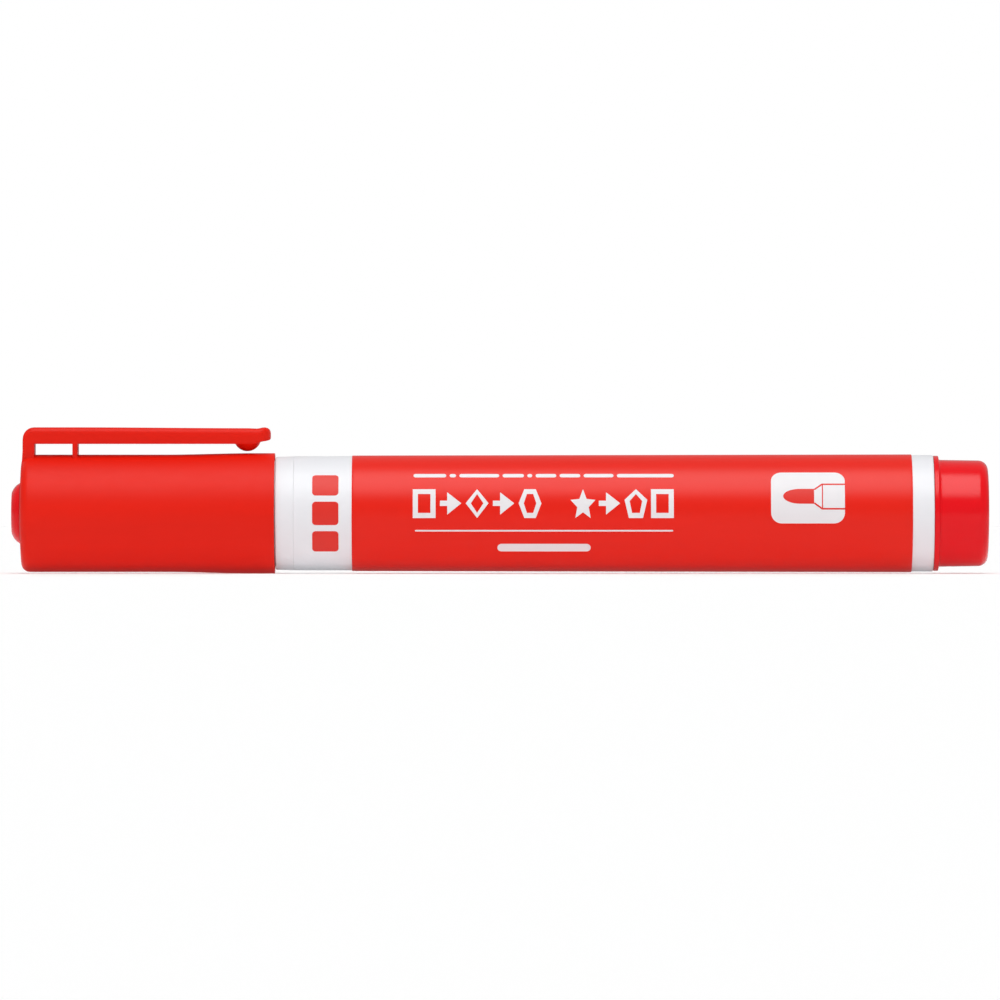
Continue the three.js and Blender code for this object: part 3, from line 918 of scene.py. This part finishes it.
def studio_world():
    """Even white behind the object. On it shine an even light and a brighter strip softbox.

    The strip is narrow along X, and arches over the marker from in front to above it.
    """
    world = bpy.data.worlds.new("studio")
    world.use_nodes = True
    nodes, links = world.node_tree.nodes, world.node_tree.links

    def eased(value, low, high, from_strength, to_strength):
        """Goes smoothly between two strengths as the value goes from low to high."""
        ramp = nodes.new("ShaderNodeMapRange")
        ramp.interpolation_type = "SMOOTHSTEP"
        ramp.inputs["From Min"].default_value = low
        ramp.inputs["From Max"].default_value = high
        ramp.inputs["To Min"].default_value = from_strength
        ramp.inputs["To Max"].default_value = to_strength
        links.new(value, ramp.inputs["Value"])
        return ramp.outputs["Result"]

    def combined(operation, first, second):
        math_node = nodes.new("ShaderNodeMath")
        math_node.operation = operation
        for socket, value in zip(math_node.inputs, (first, second)):
            if isinstance(value, (int, float)):
                socket.default_value = value
            else:
                links.new(value, socket)
        return math_node.outputs["Value"]

    direction = nodes.new("ShaderNodeTexCoord").outputs["Generated"]
    parts = nodes.new("ShaderNodeSeparateXYZ")
    links.new(direction, parts.inputs["Vector"])
    sideways = combined("ABSOLUTE", parts.outputs["X"], 0)
    towards = nodes.new("ShaderNodeVectorMath")
    towards.operation = "DOT_PRODUCT"
    middle = math.radians(STRIP_ELEVATION)
    towards.inputs[1].default_value = (0, -math.cos(middle), math.sin(middle))
    links.new(direction, towards.inputs[0])
    core, edge = [math.cos(math.radians(angle)) for angle in (STRIP_CORE, STRIP_REACH)]
    in_reach = eased(towards.outputs["Value"], edge, core, 0, 1)
    inner, outer = STRIP_WIDTH - STRIP_FEATHER, STRIP_WIDTH + STRIP_FEATHER
    in_width = eased(sideways, inner, outer, STRIP_STRENGTH, 0)
    strength = combined("ADD", combined("MULTIPLY", in_reach, in_width), AMBIENT_STRENGTH)

    backdrop = nodes["Background"]
    backdrop.inputs["Color"].default_value = (1, 1, 1, 1)
    backdrop.inputs["Strength"].default_value = 1
    light = nodes.new("ShaderNodeBackground")
    light.inputs["Color"].default_value = (1, 1, 1, 1)
    links.new(strength, light.inputs["Strength"])
    path = nodes.new("ShaderNodeLightPath")
    choice = nodes.new("ShaderNodeMixShader")
    links.new(path.outputs["Is Camera Ray"], choice.inputs["Fac"])
    links.new(light.outputs["Background"], choice.inputs[1])
    links.new(backdrop.outputs["Background"], choice.inputs[2])
    links.new(choice.outputs["Shader"], nodes["World Output"].inputs["Surface"])
    bpy.context.scene.world = world


def camera():
    """A long lens, level and square to the marker's axis, a touch above it."""
    data = bpy.data.cameras.new("camera")
    data.sensor_width = 36
    data.lens = CAMERA_LENS
    data.clip_start = 0.1
    data.clip_end = 20
    view = bpy.data.objects.new("camera", data)
    view.location = CAMERA_LOCATION
    view.rotation_euler = (math.radians(90), 0, 0)
    bpy.context.scene.collection.objects.link(view)
    bpy.context.scene.camera = view


# ------------------------------------------------------------------ the marker

add(barrel_tube(), "barrel", WHITE, "white_plastic", "barrel")
add(printed_film(), "barrel", FILM_RED, "printed_film", "printed_sleeve")
add(tail_plug(), "barrel", CRIMSON, "crimson_plastic", "tail_plug")
add(front_section(), "barrel", WHITE, "white_plastic", "front_section")
add(nib(), "barrel", NIB_FIBRE, "nib_felt", "bullet_nib")
add(white_print(), "barrel", WHITE_INK, "printed_film")
add(bullet_sign(), "barrel", RED_INK, "printed_film")
add(colour_marks(), "barrel", RED_INK, "printed_film")
add(cap_shell(), "cap", CAP_RED, "cap_plastic", "cap_shell")
add(crown(), "cap", CRIMSON, "crimson_plastic", "cap_crown")
add(inner_cap(), "cap", MILKY, "liner_plastic", "inner_cap")

clip = add(pocket_clip(), None, CAP_RED, "cap_plastic", "clip_arm")
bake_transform(clip)

for node, material in (("ink_reservoir", BUNDLE_FIBRE), ("reservoir_wrap", WRAP_FILM)):
    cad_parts[node].data.materials.clear()
    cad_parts[node].data.materials.append(material)

stage_floor()
studio_world()
camera()
bpy.context.scene.view_settings.view_transform = "Standard"
